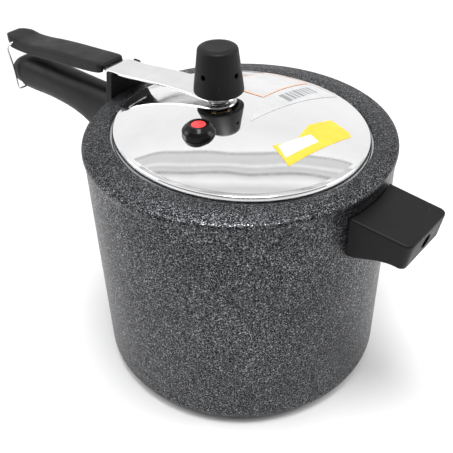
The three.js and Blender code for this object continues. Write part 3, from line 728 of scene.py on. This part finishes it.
# ---- Lid ----
DOME_EDGE = LID.a - 1.7


def dome_height(a):
    return LID.edge + (LID.crown - LID.edge) * (1 - (a / DOME_EDGE) ** 2)


def make_lid():
    ratio = LID.b / LID.a
    top_stop, under_stop = 4.2, 9  # how far from the edge the dome's two faces end

    def beyond(grow, z):
        return (LID.a + grow, LID.b + grow, z)

    crown = np.linspace(0, LID.a - top_stop, 48)
    dome = [(a, a * ratio, dome_height(a)) for a in crown]
    edge = rounded([
        (-top_stop, dome_height(LID.a - top_stop), 0), (-1.0, LID.edge - 0.05, 1.6), (0, LID.edge - 2.4, 3),
        (0, FLANGE.top, 1.2), (FLANGE.reach, FLANGE.top, 0.5), (FLANGE.reach, FLANGE.bottom, 0.5),
        (-LID.thick, FLANGE.bottom, 1.6), (-LID.thick, LID.edge - LID.thick, 2.4),
        (-under_stop, dome_height(LID.a - under_stop) - LID.thick, 0),
    ])
    inner = crown[crown < LID.a - under_stop][::-1]
    under = [(a, a * ratio, dome_height(a) - LID.thick) for a in inner]
    rings = [oval_ring(*row) for row in dome + [beyond(g, z) for g, z in edge] + under]
    shell = skin("lid_shell", rings)
    return combine(shell, [
        post(STEM.radius + GAP, 180, 215, (STEM.x, 0, 0)),
        post(VALVE.foot + GAP, 180, 210, (VALVE.x, VALVE.y, 0)),
    ])


def lid_below(rise):
    """Everything under the dome raised by that much, as a cutter."""
    crown = np.linspace(0, LID.a - 8, 40)
    rings = [oval_ring(a, a * LID.b / LID.a, dome_height(a) + rise, 96) for a in crown]
    rings.append(oval_ring(crown[-1], crown[-1] * LID.b / LID.a, 180, 96))
    return skin("cutter", rings)


def make_gasket():
    low = FLANGE.top + GAP
    section = rounded([
        (GASKET.reach - 2, low, 0), (GASKET.reach, low, 0.6), (GASKET.reach, GASKET.top, 0.6),
        (GASKET.clear, GASKET.top, 0.4), (GASKET.clear, low, 1.3), (GASKET.reach - 2.1, low, 0),
    ])
    rings = [oval_ring(LID.a + g, LID.b + g, z, 192) for g, z in section]
    return skin("gasket_ring", rings, closed=True)


# ---- Strap and upper grip ----
def strap_top(x):
    rows = np.array(sorted(STRAP_TOP), float)
    return read_curve(rows[:, 0], rows[:, 1], np.array([x]))[0]


def strap_half(x):
    shoulder, neck, corner = -120, -129, 3
    if x > STEM.x:
        return math.sqrt(max(STRAP.half**2 - (x - STEM.x) ** 2, 0.01))
    if x >= shoulder:
        return STRAP.half
    if x >= neck:
        share = (shoulder - x) / (shoulder - neck)
        share = share * share * (3 - 2 * share)
        return STRAP.half + (STRAP.tang_half - STRAP.half) * share
    return STRAP.tang_half - end_round(x - STRAP.end, corner)


def make_strap():
    tip = STEM.x + STRAP.half * np.sin(np.radians(np.linspace(90, 0, 24)))
    rest = np.linspace(STEM.x, STRAP.end + 3, 120)[1:]
    end = STRAP.end + 3 * (1 - np.sin(np.radians(np.linspace(0, 90, 8))))[1:]
    edge = 0.55
    rings = []
    for x in np.concatenate([tip, rest, end]):
        z = strap_top(x)
        rings.append(rounded_section(x, strap_half(x), z - STRAP.thick, z, edge, 5))
    body = skin("spring_strap", rings)
    return combine(body, [
        post(STEM.radius + GAP, 190, 220, (STEM.x, 0, 0)),
        *[post(2.3, 180, 220, (x, 0, 0)) for x in GRIP_SCREWS],
    ])


def make_upper_grip():
    body = bar("upper_handle", UPPER_GRIP, around=96)
    first, last, floor = -112, STRAP.end - 2, 180
    table_end = STRAP_TOP[-1][0]
    roof = [(x, strap_top(max(x, table_end)) + GAP + 0.1) for x in np.linspace(first, last, 50)]
    recess = prism("cutter", [*roof, (last, floor), (first, floor)], STRAP.tang_half + GAP + 0.2)
    pivot_depth = 8.4  # where the bail's two bores end, either side of the middle
    holes = []
    for start, end in ((pivot_depth, 20), (-20, -pivot_depth)):
        hole = post(BAIL.wire + GAP, start, end, steps=24)
        hole.data.transform(Matrix.Rotation(-math.pi / 2, 4, "X"))
        hole.data.transform(Matrix.Translation((BAIL.pivot_x * MM, 0, BAIL.pivot_z * MM)))
        holes.append(hole)
    screws = [post(2, 180, strap_top(x) + 3.6, (x, 0, 0), 24) for x in GRIP_SCREWS]
    return combine(body, [recess, *holes, *screws])


# ---- Screws ----
def make_screw(name, head, head_height, shank, length):
    """A pan-head screw pointing up, its head's underside at z = 0, with a cross recess."""
    body = turned(name, rounded([
        (0, -head_height, 0), (0.8 * head, -head_height, 0.6), (head, -0.45 * head_height, 0.6),
        (head, 0, 0.2), (shank, 0, 0), (shank, length - 0.6, 0.2), (shank - 0.6, length, 0.1),
        (0, length, 0),
    ], step=20), steps=48)
    arm, width, depth = 0.55 * head, 0.45, 0.55 * head_height
    return combine(body, [
        block("cutter", (-arm, -width, -head_height - 1), (arm, width, depth - head_height)),
        block("cutter", (-width, -arm, -head_height - 1), (width, arm, depth - head_height)),
    ])


def make_screws():
    steel = FINISH["bright_steel"]
    handle_seat = (HANDLE_SCREW_X, 0, 135.4)
    screw = make_screw("handle_screw_fine", 4.3, 2.6, 1.8, 12)
    screw.data.transform(Matrix.Translation(Vector(handle_seat) * MM))
    place(screw, "pot", steel, "bright_steel", "lower_handle_screw")
    helper_seat = (129.4, 0, HELPER.axis_z)
    screw = make_screw("helper_screw_fine", 4.4, 2.6, 1.7, 15)
    screw.data.transform(Matrix.Rotation(-math.pi / 2, 4, "Y"))
    screw.data.transform(Matrix.Translation(Vector(helper_seat) * MM))
    place(screw, "pot", steel, "bright_steel", "helper_screw")
    for i, x in enumerate(GRIP_SCREWS, 1):
        low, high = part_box(f"grip_screw_{i}")
        seat = low.z / MM + 2
        screw = make_screw(f"grip_screw_fine_{i}", 4, 2, 1.7, high.z / MM - seat)
        screw.data.transform(Matrix.Translation(Vector((x, 0, seat)) * MM))
        place(screw, "lid", steel, "bright_steel", f"grip_screw_{i}")


# ---- Vent stem and its fittings ----
def make_stem_parts():
    at = (STEM.x, 0, 0)
    bore, outer = STEM.bore, STEM.radius
    flange, flange_top = 9, STEM.bottom + 3
    stem = turned("vent_tube", rounded([
        (bore, STEM.bottom, 0), (flange, STEM.bottom, 0.5), (flange, flange_top, 0.5),
        (outer, flange_top, 0.2), (outer, STEM.tip - 5, 0.8), (bore + 1, STEM.tip, 0.4),
        (bore, STEM.tip, 0),
    ]), at, closed=True)
    place(stem, "lid", FINISH["brass"], "brass", "vent_stem")

    for name, node, radius, edge, material in (
        ("spacer_bush", "stem_spacer", 7.5, 0.4, "bright_steel"),
        ("lid_washer", "stem_seal", 9, 0.4, "grey_silicone"),
    ):
        low, high = (v.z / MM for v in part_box(node))
        collar = turned(name, rounded([
            (outer + GAP, low, 0), (radius, low, edge), (radius, high, edge), (outer + GAP, high, 0),
        ]), at, closed=True)
        place(collar, "lid", FINISH[material], material, node)

    low, high = (v.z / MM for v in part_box("stem_spring_washer"))
    washer = turned("split_washer", rounded([
        (outer + GAP, low, 0), (7, low, 0.25), (7, high, 0.25), (outer + GAP, high, 0),
    ]), at, closed=True)
    combine(washer, [block("cutter", (STEM.x + 3, -0.5, low - 1), (STEM.x + 9, 0.5, high + 1))])
    place(washer, "lid", FINISH["bright_steel"], "bright_steel", "stem_spring_washer")

    low, high = (v.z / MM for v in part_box("stem_nut"))
    nut = hex_nut("cap_nut", 13, outer + GAP, low, high, at)
    place(nut, "lid", FINISH["bright_steel"], "bright_steel", "stem_nut")


def hex_nut(name, flats, bore, low, high, at):
    """A hexagon nut with its corners chamfered off."""
    corner = flats / math.sqrt(3)
    body = turned(name, [(corner, low), (corner, high)], at, steps=6)
    chamfer = 0.7
    blank = turned("cutter", [
        (flats / 2 - 0.2, low), (corner + 0.3, low + chamfer), (corner + 0.3, high - chamfer),
        (flats / 2 - 0.2, high),
    ], at)
    combine(body, [blank], "INTERSECT")
    return combine(body, [post(bore, low - 1, high + 1, at)])


# ---- Pressure weight ----
def make_weight():
    w = WEIGHT
    cavity = CORE.radius + GAP
    mouth = w.rim - 4.6
    profile = rounded([
        (0, CORE.high + GAP, 0), (cavity, CORE.high + GAP, 0.5), (cavity, w.rim_z + 8, 1),
        (mouth, w.rim_z + 4, 1), (mouth, w.skirt_z, 0.3), (w.rim, w.skirt_z, 0.5),
        (w.rim - 0.1, w.rim_z + 1, 0), (w.top + 0.4, w.crown_z - 1.0, 2.4), (w.top - 3.6, w.crown_z, 6),
        (0, w.crown_z, 0),
    ], step=8)
    cap = turned("weight_cap", profile, (STEM.x, 0, 0), steps=128)
    vent_radius, vent_start = 2, 6
    vents = []
    for angle in (0, 90, 180, 270):
        vent = turned_to_x(post(vent_radius, vent_start, w.rim + 2, steps=40))
        vent.data.transform(Matrix.Rotation(math.radians(angle), 4, "Z"))
        vent.data.transform(Matrix.Translation(Vector((STEM.x, 0, w.vent_z)) * MM))
        vents.append(vent)
    return combine(cap, vents)


# ---- Safety valve ----
def make_valve():
    at = (VALVE.x, VALVE.y, 0)
    foot_z, crown = (v.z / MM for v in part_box("valve_housing"))
    base = crown - VALVE.height
    roof, seat = base + 0.4, base + 3.2
    pin_hole, head_hole, chamber = 1.7, 5.5, 3.5
    skirt = base - 3
    housing = turned("valve_body", rounded([
        (0, skirt, 0), (VALVE.radius, skirt, 0), (VALVE.radius, base + 2.0, 2.0),
        (VALVE.radius - 1.6, base + 4.0, 3), (head_hole + 1.6, crown, 1), (0, crown, 0),
    ], step=6), at)
    combine(housing, [lid_below(GAP)])
    combine(housing, [post(VALVE.foot, foot_z, base + 1, at)], "UNION")
    combine(housing, [
        post(chamber, foot_z - 1, roof, at), post(pin_hole, foot_z, crown + 1, at),
        post(head_hole, seat, crown + 1, at),
    ])
    place(housing, "lid", GLOSSY_BLACK, "black_phenolic", "valve_housing")

    head, pin = 5.2, 1.4
    plunger = turned("red_plunger", rounded([
        (0, foot_z, 0), (pin, foot_z, 0.2), (pin, seat + GAP, 0), (head, seat + GAP, 0.2),
        (head, crown - 0.2, 0.8), (head - 1.4, crown - 0.35, 0.6), (0, crown - 0.35, 0),
    ]), at)
    place(plunger, "plunger", FINISH["red_plastic"], "red_plastic", "valve_plunger")

    low, high = (v.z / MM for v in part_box("valve_nut"))
    nut = hex_nut("valve_nut_fine", 14, VALVE.foot + GAP, low, high, at)
    place(nut, "lid", FINISH["brass"], "brass", "valve_nut")


def make_valve_spring():
    """The valve's coil, wound at fixed heights between the ends of its part."""
    low, high = (v.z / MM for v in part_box("valve_spring"))
    coil, wire, turns = 2.5, 0.35, 3
    angles = np.linspace(0, 2 * math.pi * turns, 40 * turns)
    heights = np.linspace(low + wire, high - wire, len(angles))
    path = [
        (VALVE.x + coil * math.cos(t), VALVE.y + coil * math.sin(t), z) for t, z in zip(angles, heights)
    ]
    spring = sweep("valve_coil", path, wire, 12)
    place(spring, "lid", FINISH["bright_steel"], "bright_steel", "valve_spring")
    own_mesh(spring)


# ---- Wire bail ----
def make_bail():
    px, pz, bx, bz, leg_y = BAIL.pivot_x, BAIL.pivot_z, BAIL.bar_x, BAIL.bar_z, BAIL.leg_y
    leg = [
        (px, 9, pz), (px, 12, pz), (px - 0.3, leg_y - 1, pz - 0.4), (px - 3, leg_y, pz - 2),
        (px - 6.6, leg_y, pz - 6), (px - 6.4, leg_y, pz - 10), (px - 4.6, leg_y, pz - 20),
        (bx - 0.6, leg_y, bz + 14), (bx, leg_y, bz + 4), (bx, leg_y - 1, bz + 1),
        (bx, leg_y - 4, bz), (bx, 4, bz),
    ]
    mirrored = [(x, -y, z) for x, y, z in reversed(leg)]
    return sweep("bail_wire", through(leg + mirrored), BAIL.wire * 1.02)


# ---- Plain labels on the lid ----
# Outlines are drawn from above. Each sheet floats a little over the dome, and ink over its sheet.
LABEL_LIFT, PAPER_THICK, INK_THICK = 0.12, 0.08, 0.03
YELLOW_TAG = [
    (45.8, -22.8), (64.2, -30.1), (74.2, 26.8), (71.1, 30.2), (54.9, 31.8), (49.4, 12.9),
    (53.7, -8.7),
]
TAG_PANEL = [(48.4, -20.5), (56.5, 4.9), (64.2, 3.0), (58.5, -25.7)]
BACK_LABEL = [(6.0, 19.6), (4.6, 78.2), (-32.4, 75.8), (-30.0, 17.0)]
SIDE_LABEL = [(19.6, -12.4), (33.1, 74.6), (5.4, 77.6), (7.0, 19.0)]
FRAME_SHARE = 0.94  # how much of the back label its face covers, inside the orange frame
# Plain printed bars: where they run along X, how far they lean, and each one's start and width along Y
BAR_NEAR, BAR_FAR, BAR_LEAN = 11.5, 22.5, 1.5
BARS = [(30, 5), (37, 3), (42, 2), (46, 3.5), (51, 1.5), (54.5, 2.5), (59, 2), (63, 3)]


def on_dome(x, y, rise):
    return (x, y, dome_height(math.hypot(x, y * LID.a / LID.b)) + rise)


def make_label(name, outline, lift, thickness, material):
    """A thin sheet that follows the dome inside an outline drawn from above."""
    flat = bmesh.new()
    flat.faces.new([flat.verts.new((x, y, 0)) for x, y in outline])
    bmesh.ops.triangulate(flat, faces=flat.faces)
    halvings = 4
    for _ in range(halvings):
        bmesh.ops.subdivide_edges(flat, edges=flat.edges, cuts=1, use_grid_fill=True)
    flat.verts.ensure_lookup_table()
    corners = [v.co.copy() for v in flat.verts]
    faces = [[v.index for v in face.verts] for face in flat.faces]
    border = [(e.verts[0].index, e.verts[1].index) for e in flat.edges if e.is_boundary]
    flat.free()
    count = len(corners)
    points = [on_dome(c.x, c.y, lift + thickness) for c in corners]
    points += [on_dome(c.x, c.y, lift) for c in corners]
    faces += [[count + i for i in reversed(face)] for face in faces]
    faces += [(a, b, b + count, a + count) for a, b in border]
    place(new_object(name, points, faces), "lid", material, None, sharp=40)


def inset_outline(outline, share):
    """The outline drawn in towards its middle."""
    middle = np.mean(outline, axis=0)
    return [tuple(middle + (np.array(p) - middle) * share) for p in outline]


def make_labels():
    yellow = paper("yellow_label", (0.70, 0.46, 0.028), (0.76, 0.52, 0.040))
    white = paper("white_label", (0.47, 0.47, 0.475), (0.52, 0.52, 0.525))
    bright = paper("tag_panel_paper", (0.60, 0.60, 0.60), (0.66, 0.66, 0.66))
    orange = paper("orange_print", (0.82, 0.45, 0.30), (0.88, 0.52, 0.38))
    grey = paper("grey_print", (0.20, 0.21, 0.22), (0.28, 0.29, 0.30))
    ink_lift, back_lift = LABEL_LIFT + PAPER_THICK, LABEL_LIFT + 0.1
    make_label("yellow_tag", YELLOW_TAG, LABEL_LIFT, PAPER_THICK, yellow)
    make_label("yellow_tag_panel", TAG_PANEL, ink_lift, INK_THICK, bright)
    make_label("side_label", SIDE_LABEL, LABEL_LIFT, PAPER_THICK, white)
    make_label("back_label", BACK_LABEL, back_lift, PAPER_THICK, orange)
    make_label("back_label_face", inset_outline(BACK_LABEL, FRAME_SHARE), back_lift + PAPER_THICK,
               INK_THICK, white)
    for i, (start, width) in enumerate(BARS):
        far_start = start - BAR_LEAN
        bar_outline = [
            (BAR_NEAR, start), (BAR_FAR, far_start), (BAR_FAR, far_start + width), (BAR_NEAR, start + width),
        ]
        make_label(f"side_label_bar_{i + 1}", bar_outline, ink_lift, INK_THICK, grey)


# ---- Studio ----
def make_camera():
    back = Vector((
        math.sin(AZIMUTH) * math.cos(ELEVATION), -math.cos(AZIMUTH) * math.cos(ELEVATION),
        math.sin(ELEVATION),
    ))
    forward, right = -back, Vector((math.cos(AZIMUTH), math.sin(AZIMUTH), 0))
    up = right.cross(forward)
    turn = Matrix.Rotation(-CAMERA_PAN, 3, up)
    forward, right = turn @ forward, turn @ right
    roll = Matrix.Rotation(-CAMERA_ROLL, 3, forward)
    right, up = roll @ right, roll @ up
    data = bpy.data.cameras.new("camera")
    data.lens = CAMERA_LENS
    data.clip_start = 0.01
    camera = bpy.data.objects.new("camera", data)
    rotation = Matrix((right, up, -forward)).transposed().to_4x4()
    place_at = (Vector((0, 0, CAMERA_AIM_Z)) + back * CAMERA_DISTANCE) * MM
    camera.matrix_world = Matrix.Translation(place_at) @ rotation
    bpy.context.scene.collection.objects.link(camera)
    bpy.context.scene.camera = camera


# Grey levels of the studio round from the horizon behind the object (0), over the top (0.5), to the
# horizon behind the photographer (1). The narrow dips are dark lines between banks of light.
STUDIO_LEVELS = [
    (0.0, 0.98), (0.24, 0.88), (0.300, 0.94), (0.314, 1.0), (0.3180, 0.10), (0.3215, 0.72),
    (0.345, 0.66), (0.351, 0.98), (0.358, 0.56), (0.369, 0.80), (0.3735, 0.12), (0.378, 0.70),
    (0.394, 0.97), (0.412, 0.62), (0.426, 0.95), (0.437, 0.20), (0.447, 0.90), (0.47, 1.0),
    (0.56, 1.0), (0.67, 0.70), (0.75, 0.24), (0.86, 0.10), (1.0, 0.22),
]


def make_world():
    """A pale studio: bright overhead, banks of light behind the object, dim behind the viewer.

    The level depends on the angle over the horizon, measured in the vertical plane that the
    photo was taken along, and bent a little to the sides, so that its lines cross a convex mirror
    nearly straight. Close to the horizon it turns into one pale level all round.
    """
    bend_size, ripple_size, strength = 0.224, 0.03, 1.05
    low, high, pale = 0.08, 0.28, 0.93  # sine of the height at which the pale horizon fades
    world = bpy.data.worlds.new("studio")
    world.use_nodes = True
    n = Nodes(world.node_tree, "Generated")
    ahead = n.dot(n.place, (-math.sin(AZIMUTH), math.cos(AZIMUTH), 0))
    aside = n.dot(n.place, (math.cos(AZIMUTH), math.sin(AZIMUTH), 0))
    up = n.dot(n.place, (0, 0, 1))
    share = n.math("DIVIDE", n.math("ARCTAN2", up, ahead), math.pi)
    bend = n.math("MULTIPLY", n.math("MULTIPLY", aside, aside), bend_size)
    ripple = n.math("MULTIPLY", n.math("SUBTRACT", n.noise(3.2, detail=1), 0.5), ripple_size)
    level = n.ramp(n.math("ADD", n.math("ADD", share, bend), ripple), *STUDIO_LEVELS)
    horizon = n.add("ShaderNodeMix", data_type="RGBA")
    n.link(n.ramp(up, (low, 1.0), (high, 0.0)), horizon.inputs["Factor"])
    n.link(level, horizon.inputs["A"])
    horizon.inputs["B"].default_value = (pale, pale, pale, 1)
    background = n.tree.nodes["Background"]
    n.link(horizon.outputs["Result"], background.inputs["Color"])
    background.inputs["Strength"].default_value = strength
    bpy.context.scene.world = world


def make_light(name, where, size, power, glossy=True):
    """A round area lamp in metres and watts, aimed at the middle of the pot."""
    aim = Vector((0, 0, 0.12))
    data = bpy.data.lights.new(name, "AREA")
    data.shape = "DISK"
    data.size = size
    data.energy = power
    light = bpy.data.objects.new(name, data)
    light.location = where
    light.visible_glossy = glossy
    light.rotation_euler = (aim - Vector(where)).to_track_quat("-Z", "Y").to_euler()
    bpy.context.scene.collection.objects.link(light)


def make_floor():
    half, z = 9000, -0.2
    corners = [(-half, -half, z), (half, -half, z), (half, half, z), (-half, half, z)]
    floor = new_object("studio_floor", corners, [(0, 1, 2, 3)])
    n = Finish("pale_floor")
    colour = n.ramp(n.noise(6, detail=3), (0.3, (0.90, 0.90, 0.90)), (0.7, (0.93, 0.93, 0.93)))
    floor.data.materials.append(n.finish(colour, 0.6, None, 0.0, Specular_IOR_Level=0.2))


def make_studio():
    make_world()
    make_floor()
    make_light("overhead", (-0.15, 0.25, 1.5), 0.9, 3, glossy=False)
    make_light("key", (0.12, -0.15, 1.15), 0.45, 8)
    make_light("left", (-1.1, -0.75, 0.75), 0.8, 5)
    make_light("right", (1.1, 0.75, 0.8), 0.8, 6)
    make_camera()
    bpy.context.scene.view_settings.view_transform = "Standard"


give_finishes_to_cad_nodes()
make_pot()
place(make_lower_handle(), "pot", FINISH["black_phenolic"], "black_phenolic", "lower_handle")
place(make_helper_handle(), "pot", FINISH["black_phenolic"], "black_phenolic", "helper_handle")
place(make_lid(), "lid", FINISH["polished_aluminium"], "polished_aluminium", "lid", sharp=50)
place(make_gasket(), "lid", FINISH["grey_silicone"], "grey_silicone", "lid_gasket")
place(make_strap(), "lid", FINISH["bright_steel"], "bright_steel", "strap")
place(make_upper_grip(), "lid", FINISH["black_phenolic"], "black_phenolic", "upper_grip")
make_screws()
make_stem_parts()
place(make_weight(), "weight", MATTE_BLACK, "black_phenolic", "weight_cover")
make_valve()
make_valve_spring()
place(make_bail(), "bail", FINISH["bright_steel"], "bright_steel", "wire_bail")
make_labels()
make_studio()
